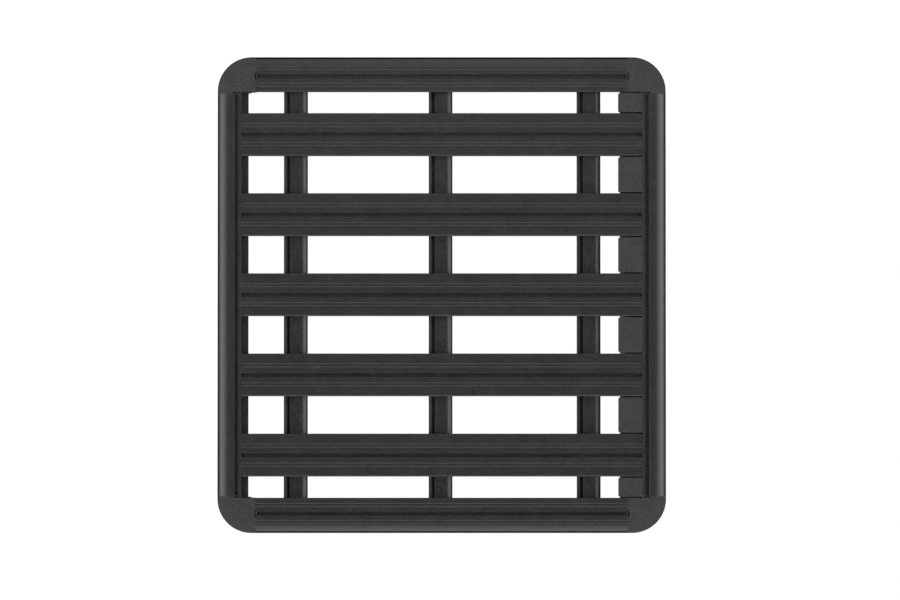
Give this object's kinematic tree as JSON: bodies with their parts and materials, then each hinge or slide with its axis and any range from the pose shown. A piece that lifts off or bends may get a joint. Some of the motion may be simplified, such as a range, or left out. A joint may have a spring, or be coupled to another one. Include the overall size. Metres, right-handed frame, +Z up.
{
  "type": "flat platform roof rack",
  "caption": "Flat aluminium platform roof rack: slotted slats and side planks across underslung crossbars, framed by bull-nosed rails, with moulded corners and front gap inserts.",
  "frame": {"origin": "under the middle of the rack, level with the undersides of the crossbars", "axes": "+X to the front, +Y to the left, +Z up"},
  "size_m": [1.3, 1.38, 0.058],
  "materials": {
    "powder_coat": "fine textured satin black powder coat on extruded aluminium",
    "moulded_plastic": "black moulded plastic with a fine spark-eroded grain"
  },
  "bodies": {
    "root": {"front_rail": "powder_coat", "rear_rail": "powder_coat", "left_side_plank": "powder_coat", "right_side_plank": "powder_coat", "slat_1": "powder_coat", "slat_2": "powder_coat", "slat_3": "powder_coat", "slat_4": "powder_coat", "slat_5": "powder_coat", "front_crossbar": "powder_coat", "middle_crossbar": "powder_coat", "rear_crossbar": "powder_coat", "front_left_corner": "moulded_plastic", "front_right_corner": "moulded_plastic", "rear_left_corner": "moulded_plastic", "rear_right_corner": "moulded_plastic", "insert_1": "moulded_plastic", "insert_2": "moulded_plastic", "insert_3": "moulded_plastic", "insert_4": "moulded_plastic", "insert_5": "moulded_plastic", "insert_6": "moulded_plastic", "front_left_bar_cap": "moulded_plastic", "front_right_bar_cap": "moulded_plastic", "middle_left_bar_cap": "moulded_plastic", "middle_right_bar_cap": "moulded_plastic", "rear_left_bar_cap": "moulded_plastic", "rear_right_bar_cap": "moulded_plastic"}
  },
  "joints": []
}
